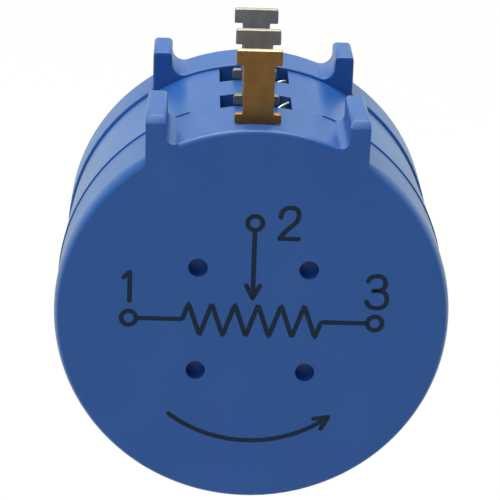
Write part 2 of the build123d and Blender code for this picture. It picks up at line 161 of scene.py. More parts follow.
class Graph:
    """The node tree of one material or of the world."""

    def __init__(self, owner: Material | World) -> None:
        """Empties the owner's node tree.

        Args:
            owner: the new material or world.
        """
        self.owner = owner
        owner.use_nodes = True
        self.tree = owner.node_tree
        self.tree.nodes.clear()

    def node(
        self,
        kind: str,
        settings: dict[str, Any] | None = None,
        inputs: dict[str | int, Any] | None = None,
        output: str | int = 0,
    ) -> Value:
        """Adds a node.

        Args:
            kind: Blender's type of the node.
            settings: its properties, which are set first.
            inputs: a number, a tuple or a Value for each named or numbered socket.
            output: the socket that is returned.

        Returns:
            The named or numbered output.
        """
        made = self.tree.nodes.new(kind)
        for key, setting in (settings or {}).items():
            setattr(made, key, setting)
        for key, given in (inputs or {}).items():
            if isinstance(given, Value):
                self.tree.links.new(given.socket, made.inputs[key])
            else:
                made.inputs[key].default_value = given
        return Value(self, made.outputs[output] if made.outputs else None)

    def point(self) -> Value:
        """The point in the row frame."""
        return self.node("ShaderNodeTexCoord", output="Object")

    def along(self, axis: str) -> Value:
        """The point's X, Y or Z in the row frame."""
        return self.node("ShaderNodeSeparateXYZ", None, {0: self.point()}, axis)

    def noise(self, size: float, detail: float = 2.0, stretch: Triple = (1.0, 1.0, 1.0)) -> Value:
        """Soft noise.

        Args:
            size: the width of its spots, in metres.
            detail: how many finer layers it has.
            stretch: a factor on the spots' size along X, Y and Z.

        Returns:
            The noise, about 0.5 in the mean.
        """
        scale = tuple(1.0 / (size * s) for s in stretch)
        scaled = {0: self.point(), 1: scale}
        place = self.node("ShaderNodeVectorMath", {"operation": "MULTIPLY"}, scaled)
        inputs = {"Vector": place, "Scale": 1.0, "Detail": detail}
        return self.node("ShaderNodeTexNoise", None, inputs)

    def mix(self, share: Value, first: Colour | Value, second: Colour) -> Value:
        """A mix of two colours.

        Args:
            share: how much of the second there is.
            first: the colour at a share of 0, fixed or mixed before.
            second: the colour at a share of 1.

        Returns:
            The mixed colour.
        """
        base = first if isinstance(first, Value) else (*first, 1.0)
        inputs = {0: share, 6: base, 7: (*second, 1.0)}
        return self.node("ShaderNodeMix", {"data_type": "RGBA", "clamp_factor": True}, inputs, 2)

    def bump(self, height: Value, distance: float) -> Value:
        """The normal of a surface with this height, in units of a distance in metres."""
        return self.node("ShaderNodeBump", None, {"Height": height, "Distance": distance})

    def ray(self, kind: str) -> Value:
        """1 for the rays of one kind and 0 for the others."""
        return self.node("ShaderNodeLightPath", output=f"Is {kind} Ray")

    def seen(self) -> Value:
        """1 for the rays that show the surroundings: to the camera, in gloss and through glass."""
        return self.ray("Camera") + self.ray("Glossy") + self.ray("Transmission")

    def white_glow(self, kind: str, pale: Value) -> Value:
        """A white light of strength 1, which is tinted and paler in gloss.

        Args:
            kind: Blender's type of the shader.
            pale: the strength in gloss.

        Returns:
            The shader.
        """
        glossy = self.ray("Glossy")
        tint = self.mix(glossy, WHITE, GLOSS_TINT)
        return self.node(kind, None, {"Color": tint, "Strength": 1 - glossy * (1 - pale)})

    def finish(self, **inputs: Any) -> Material:
        """Ends the graph in a Principled shader.

        Args:
            inputs: the shader's sockets by name, with _ for a space.

        Returns:
            The material.
        """
        sockets = {key.replace("_", " "): given for key, given in inputs.items()}
        shader = self.node("ShaderNodeBsdfPrincipled", None, sockets)
        self.node("ShaderNodeOutputMaterial", None, {"Surface": shader})
        return self.owner


@dataclass(frozen=True)
class MouldedPlastic:
    """Smooth moulded plastic with faint clouds in its colour, pale specks and a fine grain."""

    name: str
    tint: Colour
    pale: Colour
    roughness: float = 0.4
    cloud: float = 5.0 * MM
    cloud_range: Pair = (0.35, 0.75)
    cloud_share: float = 0.5
    cloud_bump: float = 2.0
    speck: float = 0.35 * MM
    speck_range: Pair = (0.66, 0.74)
    speck_share: float = 0.2
    grain: float = 0.12 * MM
    grain_height: float = 0.0012 * MM
    grain_depth: float = 0.06
    smudge: float = 3.5 * MM
    smudge_stretch: Triple = (1.0, 2.0, 1.0)
    smudge_depth: float = 0.14
    ior: float = 1.5
    specular: float = 0.45

    def material(self) -> Material:
        """Builds the material.

        Returns:
            The material.
        """
        graph = Graph(bpy.data.materials.new(self.name))
        clouds = graph.noise(self.cloud, detail=3.0)
        specks = graph.noise(self.speck, detail=1.0).between(*self.speck_range)
        grain = graph.noise(self.grain)
        smudges = graph.noise(self.smudge, detail=4.0, stretch=self.smudge_stretch)
        share = clouds.between(*self.cloud_range) * self.cloud_share + specks * self.speck_share
        swing = smudges.swing(self.smudge_depth) + grain.swing(self.grain_depth)
        return graph.finish(
            Base_Color=graph.mix(share, self.tint, self.pale),
            Roughness=self.roughness + swing,
            Normal=graph.bump(grain + clouds * self.cloud_bump, self.grain_height),
            IOR=self.ior,
            Specular_IOR_Level=self.specular,
        )


@dataclass(frozen=True)
class StripMetal:
    """Rolled and stamped strip: rolling lines along Z, dull blotches and a few dark flecks.

    Its lower end may be darkened by painted shade and its top edge paled by a painted highlight,
    each over a stretch of Z.
    """

    name: str
    bright: Colour
    dull: Colour
    roughness: float = 0.36
    line: float = 0.05 * MM
    line_stretch: float = 24.0
    line_height: float = 0.003 * MM
    line_share: float = 0.5
    line_depth: float = 0.2
    line_bump: float = 0.6
    blotch: float = 0.9 * MM
    blotch_range: Pair = (0.3, 0.7)
    blotch_share: float = 0.75
    blotch_depth: float = 0.2
    blotch_bump: float = 0.4
    fleck: float = 0.22 * MM
    fleck_range: Pair = (0.62, 0.72)
    fleck_share: float = 0.2
    # painted shade: the lower end is darkened towards this colour, for the shade on the feet in the
    # barrel's windows
    painted_shade: Colour = (0.20, 0.185, 0.14)
    painted_shade_share: float = 0.0
    painted_shade_end: Pair = (11.4 * MM, 12.0 * MM)
    # painted highlight: the top edge is paled towards this colour, for the light it catches
    painted_highlight: Colour = (0.76, 0.64, 0.46)
    painted_highlight_share: float = 0.0
    painted_highlight_start: Pair = (15.06 * MM, 15.1 * MM)

    def material(self) -> Material:
        """Builds the material.

        Returns:
            The material.
        """
        graph = Graph(bpy.data.materials.new(self.name))
        lines = graph.noise(self.line, stretch=(1.0, 1.0, self.line_stretch))
        blotches = graph.noise(self.blotch, detail=4.0)
        flecks = graph.noise(self.fleck).between(*self.fleck_range)
        share = blotches.between(*self.blotch_range) * self.blotch_share
        share += lines.swing(self.line_share) + flecks * self.fleck_share
        relief = lines * self.line_bump + blotches * self.blotch_bump
        metal = graph.mix(share, self.bright, self.dull)
        height = graph.along("Z")
        # painted shade: darker below this stretch of Z, towards the feet
        low = (1 - height.between(*self.painted_shade_end)) * self.painted_shade_share
        metal = graph.mix(low, metal, self.painted_shade)
        # painted highlight: paler above this stretch of Z, on the top edge
        high = height.between(*self.painted_highlight_start) * self.painted_highlight_share
        return graph.finish(
            Base_Color=graph.mix(high, metal, self.painted_highlight),
            Metallic=1.0,
            Roughness=self.roughness + blotches * self.blotch_depth + lines.swing(self.line_depth),
            Normal=graph.bump(relief, self.line_height),
        )


@dataclass(frozen=True)
class TurnedMetal:
    """Metal turned on a lathe: fine rings about the Y axis, with stains between them."""

    name: str
    bright: Colour
    dull: Colour
    roughness: float = 0.26
    ring: float = 0.09 * MM
    ring_stretch: float = 160.0
    ring_height: float = 0.004 * MM
    ring_depth: float = 0.22
    stain: float = 1.6 * MM
    stain_range: Pair = (0.4, 0.8)
    stain_share: float = 0.7
    stain_depth: float = 0.16

    def material(self) -> Material:
        """Builds the material.

        Returns:
            The material.
        """
        graph = Graph(bpy.data.materials.new(self.name))
        stretch = (self.ring_stretch, 1.0, self.ring_stretch)
        rings = graph.noise(self.ring, detail=3.0, stretch=stretch)
        stains = graph.noise(self.stain, detail=4.0)
        share = stains.between(*self.stain_range) * self.stain_share
        return graph.finish(
            Base_Color=graph.mix(share, self.bright, self.dull),
            Metallic=1.0,
            Roughness=self.roughness + stains * self.stain_depth + rings.swing(self.ring_depth),
            Normal=graph.bump(rings, self.ring_height),
        )


@dataclass(frozen=True)
class WoundWire:
    """Close winding of fine wire, with painted shade in the gaps between turns across the piece's
    UV length, one gap for each turn.
    """

    name: str
    bright: Colour
    # painted shade: the colour in the gaps between turns
    gap: Colour
    wire: float = 0.06 * MM
    crown_height: float = 0.02 * MM
    crown_range: Pair = (0.1, 0.8)
    wear: float = 0.4 * MM
    wear_share: Pair = (0.6, 0.5)
    wear_depth: float = 0.2
    metallic: float = 0.9
    roughness: float = 0.3

    def material(self) -> Material:
        """Builds the material.

        Returns:
            The material.
        """
        graph = Graph(bpy.data.materials.new(self.name))
        along = graph.node("ShaderNodeSeparateXYZ", None, {0: graph.node("ShaderNodeUVMap")})
        turns = along * (1 / self.wire)
        phase = graph.node("ShaderNodeMath", {"operation": "FRACT"}, {0: turns})
        off_crown = phase * 2 - 1
        crown = 1 - off_crown * off_crown
        wear = graph.noise(self.wear, detail=3.0)
        least, more = self.wear_share
        # the crowns keep the wire's colour and turn to painted shade towards the gaps between turns
        share = crown.between(*self.crown_range) * (least + wear * more)
        return graph.finish(
            Base_Color=graph.mix(share, self.gap, self.bright),
            Metallic=self.metallic,
            Roughness=self.roughness + wear * self.wear_depth,
            Normal=graph.bump(crown, self.crown_height),
        )


@dataclass(frozen=True)
class StampedInk:
    """Thin dark ink that is worn through in small spots."""

    name: str
    ink: Colour
    worn: Colour
    spot: float = 0.16 * MM
    spot_height: float = 0.002 * MM
    spot_range: Pair = (0.45, 0.8)
    spot_share: float = 0.7
    spot_depth: float = 0.2
    roughness: float = 0.6
    specular: float = 0.2

    def material(self) -> Material:
        """Builds the material.

        Returns:
            The material.
        """
        graph = Graph(bpy.data.materials.new(self.name))
        spots = graph.noise(self.spot, detail=3.0)
        share = spots.between(*self.spot_range) * self.spot_share
        return graph.finish(
            Base_Color=graph.mix(share, self.ink, self.worn),
            Roughness=self.roughness + spots.swing(self.spot_depth),
            Normal=graph.bump(spots, self.spot_height),
            Specular_IOR_Level=self.specular,
        )


@dataclass(frozen=True)
class StudioPaper:
    """Plain pale floor that reads as white where it is seen and still takes the part's shadow."""

    name: str
    tone: Colour
    glow: float
    gloss_near: float
    near: Pair

    def material(self) -> Material:
        """Builds the material, which is dimmer in gloss on the camera's side.

        Returns:
            The material.
        """
        graph = Graph(bpy.data.materials.new(self.name))
        paper = graph.node("ShaderNodeBsdfDiffuse", None, {"Color": (*self.tone, 1.0)})
        far = graph.along("Y").between(*self.near)
        pale = self.gloss_near + far * (1 - self.gloss_near)
        white = graph.white_glow("ShaderNodeEmission", pale)
        glow = graph.seen() * self.glow
        shader = graph.node("ShaderNodeMixShader", None, {0: glow, 1: paper, 2: white})
        graph.node("ShaderNodeOutputMaterial", None, {"Surface": shader})
        return graph.owner


def grid_faces(rows: int, columns: int) -> np.ndarray:
    """Quads of a grid of points that is stored row by row, each row closed on itself.

    Args:
        rows: how many rows of points there are.
        columns: how many points each row has.

    Returns:
        An array of four point numbers for each quad.
    """
    row = np.arange(rows - 1)[:, None] * columns
    here = np.arange(columns)[None, :]
    following = (here + 1) % columns
    quads = (row + here, row + following, row + columns + following, row + columns + here)
    return np.stack(quads, axis=-1).reshape(-1, 4)


def closed_tube(rings: np.ndarray) -> Skin:
    """A skin over a row of closed rings, with a flat cap at each end.

    Args:
        rings: an array of rings by points by 3.

    Returns:
        The points and the faces.
    """
    count, sides = rings.shape[:2]
    faces = grid_faces(count, sides).tolist()
    first = list(range(sides))
    last = list(range((count - 1) * sides, count * sides))
    return rings.reshape(-1, 3), faces + [first[::-1], last]


def joined(parts: list[Skin]) -> Skin:
    """Several meshes as one.

    Args:
        parts: the points and faces of each.

    Returns:
        The points and the faces of all.
    """
    starts = np.cumsum([0] + [len(points) for points, _ in parts])
    faces = [[i + s for i in f] for s, (_, part) in zip(starts.tolist(), parts) for f in part]
    return np.concatenate([points for points, _ in parts]), faces


def evenly(path: np.ndarray, step: float) -> np.ndarray:
    """Points at even distances along a broken line, by linear interpolation on its length.

    Args:
        path: the line's points, one row each.
        step: about the distance between the new points.

    Returns:
        The new points, one row each.
    """
    length = np.concatenate([[0.0], np.cumsum(np.linalg.norm(np.diff(path, axis=0), axis=1))])
    count = max(int(length[-1] / step), 2) + 1
    along = np.linspace(0.0, length[-1], count)
    return np.stack([np.interp(along, length, column) for column in path.T], axis=1)


def smooth_path(control: np.ndarray, steps: int = 10) -> np.ndarray:
    """A uniform cubic B-spline that starts and ends at its first and last control points.

    Each span is the sum of four control points, weighed by (1-u)^3, 3u^3-6u^2+4, -3u^3+3u^2+3u+1
    and u^3, over 6. The end points are repeated so that the curve reaches them.

    Args:
        control: the control points, one row each.
        steps: how many points each span has.

    Returns:
        The curve's points, one row each.
    """
    padded = np.concatenate([np.repeat(control[:1], 2, 0), control, np.repeat(control[-1:], 2, 0)])
    u = np.linspace(0.0, 1.0, steps, endpoint=False)
    weights = [(1 - u) ** 3, 3 * u**3 - 6 * u**2 + 4, -3 * u**3 + 3 * u**2 + 3 * u + 1, u**3]
    spans = len(padded) - 3
    curve = sum(w[None, :, None] * padded[i : i + spans, None] / 6 for i, w in enumerate(weights))
    return np.concatenate([curve.reshape(-1, padded.shape[1]), control[-1:]])


def unit(rows: np.ndarray) -> np.ndarray:
    """The vectors in these rows, each at a length of 1."""
    return rows / np.linalg.norm(rows, axis=1, keepdims=True)


def swept(
    path: np.ndarray, normal: Triple, half_width: float, half_height: float, sides: int = 10
) -> Skin:
    """An oval section carried along a path, with rounded ends.

    A ring is path + side * half_width * cos b + normal * half_height * sin b, where side is square
    to the path and to the normal. Beyond each end the rings shrink by a quarter circle.

    Args:
        path: the path's points, one row each.
        normal: a direction that is nowhere along the path.
        half_width: half of the section across the normal.
        half_height: half of the section along the normal.
        sides: how many points each ring has.

    Returns:
        The points and the faces.
    """
    tangent = unit(np.gradient(path, axis=0))
    angle = np.linspace(CAP_START, math.pi / 2, CAP_RINGS, endpoint=False)
    ends = ((CAP_RINGS, CAP_RINGS), (0, 0))
    along = np.pad(tangent, ends, mode="edge")
    beyond = np.concatenate([-np.cos(angle), np.zeros(len(path)), np.cos(angle[::-1])])
    centre = np.pad(path, ends, mode="edge") + along * half_width * beyond[:, None]
    scale = np.concatenate([np.sin(angle), np.ones(len(path)), np.sin(angle[::-1])])
    side = unit(np.cross(along, np.array(normal)))
    over = np.cross(side, along)
    b = np.arange(sides) / sides * TURN
    oval = side[:, None] * (half_width * np.cos(b))[None, :, None]
    oval = oval + over[:, None] * (half_height * np.sin(b))[None, :, None]
    return closed_tube(centre[:, None] + oval * scale[:, None, None])


def rounded_outline(corners: np.ndarray, radius: np.ndarray, steps: int = 6) -> np.ndarray:
    """A closed outline with its corners rounded by quadratic curves.

    A curve leaves each side at the distance radius from the corner P, from A to B, and its points
    are (1-u)^2 A + 2u(1-u) P + u^2 B.

    Args:
        corners: the sharp corners in order, one row each.
        radius: the distance from each corner at which its curve starts.
        steps: how many points each curve has.

    Returns:
        The outline's points, one row each.
    """
    sides = [unit(np.roll(corners, step, axis=0) - corners) for step in (1, -1)]
    start, end = (corners + side * radius[:, None] for side in sides)
    u = np.linspace(0.0, 1.0, steps)[None, :, None]
    curve = (1 - u) ** 2 * start[:, None] + 2 * u * (1 - u) * corners[:, None] + u**2 * end[:, None]
    return curve.reshape(-1, 2)


def put(name: str, data: ID) -> Object:
    """Adds an object with its data to the scene.

    Args:
        name: the object's name.
        data: its mesh, lamp or camera.

    Returns:
        The object, at the origin.
    """
    item = bpy.data.objects.new(name, data)
    bpy.context.scene.collection.objects.link(item)
    return item


def new_piece(name: str, points: np.ndarray, faces: list[list[int]]) -> Object:
    """Makes a smooth mesh object whose faces point outwards.

    Args:
        name: the piece's name.
        points: its points, one row each.
        faces: the point numbers of each face.

    Returns:
        The object, at the origin.
    """
    mesh = bpy.data.meshes.new(name)
    mesh.from_pydata(points, [], faces)
    mesh.validate()
    work = bmesh.new()
    work.from_mesh(mesh)
    bmesh.ops.recalc_face_normals(work, faces=work.faces)
    work.to_mesh(mesh)
    work.free()
    mesh.shade_smooth()
    return put(name, mesh)


def dress(piece: Object, body: Body, material: Material) -> Object:
    """Gives a piece its material and body.

    Args:
        piece: the new piece.
        body: the body that it rides on.
        material: its material.

    Returns:
        The piece.
    """
    piece.data.materials.clear()
    piece.data.materials.append(material)
    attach(piece, body.value)
    log.info("%s rides on %s", piece.name, body.value)
    return piece


def share_from_top(points: np.ndarray, clear_deg: Pair) -> np.ndarray:
    """Shares from 0 to 1 between two angles from the top, about the Y axis, for points in rows."""
    from_top = np.degrees(np.abs(np.arctan2(points[:, 0], points[:, 2])))
    return np.interp(from_top, clear_deg, (0.0, 1.0))


def read_all(items: Any, attribute: str, width: int, kind: type = np.int32) -> np.ndarray:
    """Reads one attribute of all of a mesh's points, edges, corners or faces.

    Args:
        items: the mesh's collection of them.
        attribute: Blender's name of the attribute.
        width: how many values each has.
        kind: the values' type.

    Returns:
        The values, one row each.
    """
    values = np.empty(len(items) * width, kind)
    items.foreach_get(attribute, values)
    return values.reshape(-1, width)


def mesh_points(mesh: Mesh) -> np.ndarray:
    """A mesh's points, one row each."""
    return read_all(mesh.vertices, "co", 3, np.float32).astype(float)


def edge_ends(mesh: Mesh) -> np.ndarray:
    """The two point numbers of each of a mesh's edges, one row each."""
    return read_all(mesh.edges, "vertices", 2)


@dataclass(frozen=True)
class Draft:
    """A moulding's draft: how far its outer skin stands out or in at stations along the shaft."""

    skin_radius: float
    stations: tuple[Pair, ...]
    clear_deg: Pair = (-2.0, -1.0)

    def split(self, mesh: Mesh) -> None:
        """Leaves the mesh as it is: a draft needs no more points."""

    def apply(self, points: np.ndarray) -> np.ndarray:
        """Moves the skin's points.

        A point of radius r about the Y axis, beyond the skin's radius, moves to r + d. The distance
        d is interpolated over y, and fades to nothing within the clear angle from the top.

        Args:
            points: the points, one row each.

        Returns:
            The moved points.
        """
        radius = np.hypot(points[:, 0], points[:, 2])
        moved = np.interp(points[:, 1], *zip(*self.stations))
        moved *= share_from_top(points, self.clear_deg)
        factor = np.where(radius > self.skin_radius, 1 + moved / np.maximum(radius, MM), 1.0)
        return points * np.stack([factor, np.ones(len(points)), factor], axis=1)


@dataclass(frozen=True)
class SoftEdge:
    """The rear edge of a round body, drawn out from the solid's round into a longer, softer one."""

    body_radius: float
    solid_round: float
    radial: float
    axial: float
    clear_deg: Pair
    cuts: int = 4
    slack: float = 0.01
    chord: float = 0.9
    least_turn: float = 0.3

    def _turn(self, points: np.ndarray) -> tuple[np.ndarray, np.ndarray]:
        """Finds the points on the solid's round, whose flats are its chords.

        Args:
            points: the points, one row each.

        Returns:
            Their turn along the round, from the rear face, and which points lie on the round.
        """
        q = self.solid_round
        sine = (np.hypot(points[:, 0], points[:, 2]) - self.body_radius + q) / q
        cosine = (points[:, 1].min() + q - points[:, 1]) / q
        far = np.hypot(sine, cosine)
        on_round = (far > self.chord) & (far < 1 + self.slack)
        on_round &= (sine > -self.slack) & (cosine > -self.slack)
        return np.arctan2(sine, cosine), on_round

    def split(self, mesh: Mesh) -> None:
        """Cuts the round's flats into finer ones.

        Args:
            mesh: the copy's mesh.
        """
        ends = edge_ends(mesh)
        turn, on_round = self._turn(mesh_points(mesh))
        across = on_round[ends].all(axis=1)
        across &= np.abs(np.diff(turn[ends], axis=1)[:, 0]) > self.least_turn
        mesh.edges.foreach_set("select", across)
        work = bmesh.new()
        work.from_mesh(mesh)
        chosen = [edge for edge in work.edges if edge.select]
        bmesh.ops.subdivide_edges(work, edges=chosen, cuts=self.cuts, use_grid_fill=True)
        work.to_mesh(mesh)
        work.free()

    def apply(self, points: np.ndarray) -> np.ndarray:
        """Moves the points on the solid's round.

        A point at the turn b goes to (R - p + p sin b, y0 + h - h cos b) in radius and y, where p
        and h are the ellipse's radial and axial halves. Both fade to the solid's round at the top.

        Args:
            points: the points, one row each.

        Returns:
            The moved points.
        """
        turn, on_round = self._turn(points)
        radius = np.maximum(np.hypot(points[:, 0], points[:, 2]), MM)
        share = share_from_top(points, self.clear_deg)
        q = self.solid_round
        radial, axial = (q + share * (full - q) for full in (self.radial, self.axial))
        wanted = self.body_radius - radial * (1 - np.sin(turn))
        factor = np.where(on_round, wanted / radius, 1.0)
        rear = points[:, 1].min()
        y = np.where(on_round, rear + axial * (1 - np.cos(turn)), points[:, 1])
        return np.stack([points[:, 0] * factor, y, points[:, 2] * factor], axis=1)


@dataclass
class EdgedCopy:
    """A copy of a CAD node with its flat faces joined and its sharp edges rounded."""

    node: str
    body: Body
    slot: Slot
    edge: float
    shaping: tuple[SoftEdge | Draft, ...] = ()
    rounded_above: float = -1.0
    steps: int = 3
    sharp_deg: float = 30.0
    merge: float = 1e-7
    flat_deg: float = 0.2

    def _sort_edges(self, mesh: Mesh) -> None:
        """Marks the sharp edges that are rounded, above a height, and those that stay sharp.

        An edge is sharp where the normals of its two faces differ by more than the sharp angle.

        Args:
            mesh: the copy's mesh, which is closed.
        """
        edge_of = read_all(mesh.loops, "edge_index", 1)[:, 0]
        sides = read_all(mesh.polygons, "loop_total", 1)[:, 0]
        normals = read_all(mesh.polygons, "normal", 3, np.float32)
        face_of = np.repeat(np.arange(len(sides)), sides)[np.argsort(edge_of, kind="stable")]
        pairs = normals[face_of.reshape(-1, 2)]
        sharp = (pairs[:, 0] * pairs[:, 1]).sum(axis=1) < math.cos(math.radians(self.sharp_deg))
        high = mesh_points(mesh)[edge_ends(mesh), 2].min(axis=1) > self.rounded_above
        weights = mesh.attributes.new("bevel_weight_edge", "FLOAT", "EDGE")
        weights.data.foreach_set("value", (sharp & high).astype(np.float32))
        mesh.edges.foreach_set("use_edge_sharp", sharp & ~high)

    def build(self, nodes: dict[str, Object], material: Material) -> Object:
        """Builds the copy, which stands for the node.

        Args:
            nodes: the frame's CAD nodes by name.
            material: the copy's material.

        Returns:
            The piece.
        """
        work = bmesh.new()
        work.from_mesh(nodes[self.node].data)
        bmesh.ops.remove_doubles(work, verts=work.verts, dist=self.merge)
        limit = math.radians(self.flat_deg)
        bmesh.ops.dissolve_limit(work, angle_limit=limit, verts=work.verts, edges=work.edges)
        mesh = bpy.data.meshes.new(f"{self.node}_finished")
        work.to_mesh(mesh)
        work.free()
        for change in self.shaping:
            change.split(mesh)
            points = change.apply(mesh_points(mesh))
            mesh.vertices.foreach_set("co", points.ravel().astype(np.float32))
        mesh.update()
        mesh.shade_smooth()
        self._sort_edges(mesh)
        piece = put(mesh.name, mesh)
        bevel = piece.modifiers.new("rounded_edges", "BEVEL")
        bevel.width = self.edge
        bevel.segments = self.steps
        bevel.limit_method = "WEIGHT"
        piece.modifiers.new("joined_points", "WELD").merge_threshold = self.merge
        piece.modifiers.new("flat_faces", "WEIGHTED_NORMAL").keep_sharp = True
        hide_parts(self.node)
        return dress(piece, self.body, material)


@dataclass
class SolderTerminal:
    """A stamped terminal: head, neck and foot above the barrel, and a tail inside it."""

    node: str
    slot: Slot
    head_width: float = 2.55 * MM
    head_height: float = 0.85 * MM
    neck_width: float = 1.72 * MM
    foot_width: float = 2.6 * MM
    foot_height: float = 0.55 * MM
    foot_base: float = 10.94 * MM
    tail_width: float = 1.6 * MM
    outer_corner: float = 0.16 * MM
    inner_corner: float = 0.08 * MM
    edge: float = 0.05 * MM
    edge_steps: int = 4

    def outline(self, low: float, high: float) -> np.ndarray:
        """The stamped outline in X and Z.

        Args:
            low: the tail's lower end.
            high: the head's top.

        Returns:
            The outline's points in order, one row each.
        """
        neck_top, neck_base = high - self.head_height, self.foot_base + self.foot_height
        widths = (self.tail_width, self.foot_width, self.neck_width, self.head_width)
        heights = (low, *np.repeat((self.foot_base, neck_base, neck_top), 2), high)
        radii = np.tile([*[self.inner_corner] * 3, self.outer_corner], 2)
        half = np.stack([np.repeat(widths, 2) / 2, heights, radii], axis=1)
        corners = np.concatenate([half, half[::-1] * (-1.0, 1.0, 1.0)])
        return rounded_outline(corners[:, :2], corners[:, 2])

    def build(self, material: Material) -> Object:
        """Builds the terminal as rings of the outline, drawn in at both faces by a quarter round.

        Args:
            material: its material.

        Returns:
            The piece, which stands for its node.
        """
        low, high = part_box(self.node)
        outline = self.outline(low.z, high.z)
        along = np.roll(outline, -1, axis=0) - np.roll(outline, 1, axis=0)
        inward = unit(np.stack([-along[:, 1], along[:, 0]], axis=1))
        angle = np.linspace(0.0, math.pi / 2, self.edge_steps)
        drawn_in = self.edge * (1 - np.sin(angle))
        depth = self.edge * (1 - np.cos(angle))
        drawn_in = np.concatenate([drawn_in, drawn_in[::-1]])
        y = np.concatenate([low.y + depth, high.y - depth[::-1]])
        flat = outline[None] + inward[None] * drawn_in[:, None, None]
        y = np.broadcast_to(y[:, None], flat.shape[:2])
        rings = np.stack([flat[..., 0], y, flat[..., 1]], axis=-1)
        piece = new_piece(f"{self.node}_stamped", *closed_tube(rings))
        piece.modifiers.new("flat_faces", "WEIGHTED_NORMAL")
        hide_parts(self.node)
        return dress(piece, Body.HOUSING, material)


@dataclass
class LeadEnds:
    """Bare wire ends that lead from the element through the barrel's windows to the terminals."""

    name: str = "lead_ends"
    radius: float = 0.065 * MM
    normal: Triple = (0.3, 0.2, 1.0)
    routes_mm: tuple[tuple[Triple, ...], ...] = (
        ((1.1, -13.2, 10.5), (1.4, -12.9, 10.75), (1.9, -12.3, 10.8),
         (1.9, -11.6, 10.6), (1.6, -11.3, 10.1)),
        ((1.1, -8.0, 10.5), (1.45, -7.75, 10.7), (1.9, -7.5, 10.7),
         (1.9, -7.0, 10.4), (1.7, -6.6, 10.1)),
    )

    def build(self, material: Material) -> Object:
        """Builds the wires as one piece, each a round section carried along a B-spline.

        Args:
            material: their material.

        Returns:
            The piece.
        """
        paths = [smooth_path(np.array(route) * MM) for route in self.routes_mm]
        tubes = [swept(path, self.normal, self.radius, self.radius) for path in paths]
        return dress(new_piece(self.name, *joined(tubes)), Body.HOUSING, material)


# Strokes of the numerals, in a box 0.6 wide and 1 high
ONE = ((0.12, 0.8), (0.32, 1.0), (0.32, 0.0))
TWO = ((0.02, 0.72), (0.06, 1.04), (0.58, 1.08), (0.64, 0.62), (0.2, 0.3), (0.0, 0.0))
TWO_BASE = ((0.0, 0.0), (0.6, 0.0))
THREE_TOP = ((0.02, 0.86), (0.1, 1.06), (0.6, 1.06), (0.6, 0.54), (0.2, 0.54))
THREE_LOW = ((0.2, 0.54), (0.66, 0.56), (0.68, -0.06), (0.1, -0.08), (0.0, 0.16))


@dataclass
class WiringMark:
    """A plain wiring sign printed on the rear face: a resistor, its slider and their numbers."""

    node: str = "rear_cover"
    name: str = "wiring_mark"
    stroke: float = 0.27 * MM
    thickness: float = 0.012 * MM
    step: float = 0.12 * MM
    teeth: int = 6
    tooth_width: float = 1.3 * MM
    tooth_height: float = 0.95 * MM
    lead: float = 2.6 * MM
    ring_radius: float = 0.42 * MM
    ring_points: int = 25
    slider_top: float = 5.4 * MM
    slider_tip: float = 1.35 * MM
    barb: float = 0.75 * MM
    arc_radius: float = 7.4 * MM
    arc_deg: Pair = (232.0, 308.0)
    arc_points: int = 40
    arrow_span: int = 4
    digit_height: float = 1.75 * MM
    digit_gap: float = 1.9 * MM
    digit_middle: Pair = (0.3, 0.5)

    def _digit(self, shape: tuple[Pair, ...], place: Pair, rounded: bool) -> np.ndarray:
        """One stroke of a numeral, curved or straight, with the middle of its box at a place."""
        points = (np.array(shape) - self.digit_middle) * self.digit_height
        return (smooth_path(points) if rounded else points) + place

    def strokes(self) -> list[np.ndarray]:
        """All the strokes, as broken lines in X and Z.

        The zigzag's points stand half a tooth apart, at plus and minus its height by turns. Rings
        and the arc are circles of the stated radius.

        Returns:
            The points of each stroke, one row each.
        """
        half = self.teeth * self.tooth_width / 2
        end = half + self.lead
        peaks = np.linspace(-half, half, 2 * self.teeth, endpoint=False) + self.tooth_width / 4
        height = np.tile((self.tooth_height, -self.tooth_height), self.teeth)
        zigzag = np.stack([peaks, height], axis=1)
        zigzag = np.concatenate([[(-end, 0.0), (-half, 0.0)], zigzag, [(half, 0.0), (end, 0.0)]])
        turn = np.linspace(0.0, TURN, self.ring_points)
        circle = np.stack([np.cos(turn), np.sin(turn)], axis=1) * self.ring_radius
        beyond = end + self.ring_radius
        top = self.slider_top + self.ring_radius
        rings = [circle + centre for centre in ((-beyond, 0.0), (beyond, 0.0), (0.0, top))]
        tip, barb = self.slider_tip, self.barb
        slider = np.array([(0.0, self.slider_top), (0.0, tip)])
        head = np.array([(-barb / 2, tip + barb), (0.0, tip), (barb / 2, tip + barb)])
        sweep = np.radians(np.linspace(*self.arc_deg, self.arc_points))
        arc = np.stack([np.cos(sweep), np.sin(sweep)], axis=1) * self.arc_radius
        back = arc[-1] - arc[-self.arrow_span]
        back *= barb / np.linalg.norm(back)
        across = np.array((-back[1], back[0])) / 2
        arrow = np.array([arc[-1] - back + across, arc[-1], arc[-1] - back - across])
        gap = self.digit_gap
        one = self._digit(ONE, (-beyond, gap), rounded=False)
        two = self._digit(TWO, (gap, top), rounded=True)
        base = self._digit(TWO_BASE, (gap, top), rounded=False)
        three = [self._digit(bow, (beyond, gap), rounded=True) for bow in (THREE_TOP, THREE_LOW)]
        return [zigzag, *rings, slider, head, arc, arrow, one, two, base, *three]

    def build(self, material: Material) -> Object:
        """Builds the mark as thin beads, half sunk in the rear face.

        Args:
            material: its material.

        Returns:
            The piece.
        """
        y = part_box(self.node)[0].y
        paths = [np.insert(evenly(stroke, self.step), 1, y, axis=1) for stroke in self.strokes()]
        beads = [swept(path, (0.0, -1.0, 0.0), self.stroke / 2, self.thickness) for path in paths]
        return dress(new_piece(self.name, *joined(beads)), Body.HOUSING, material)


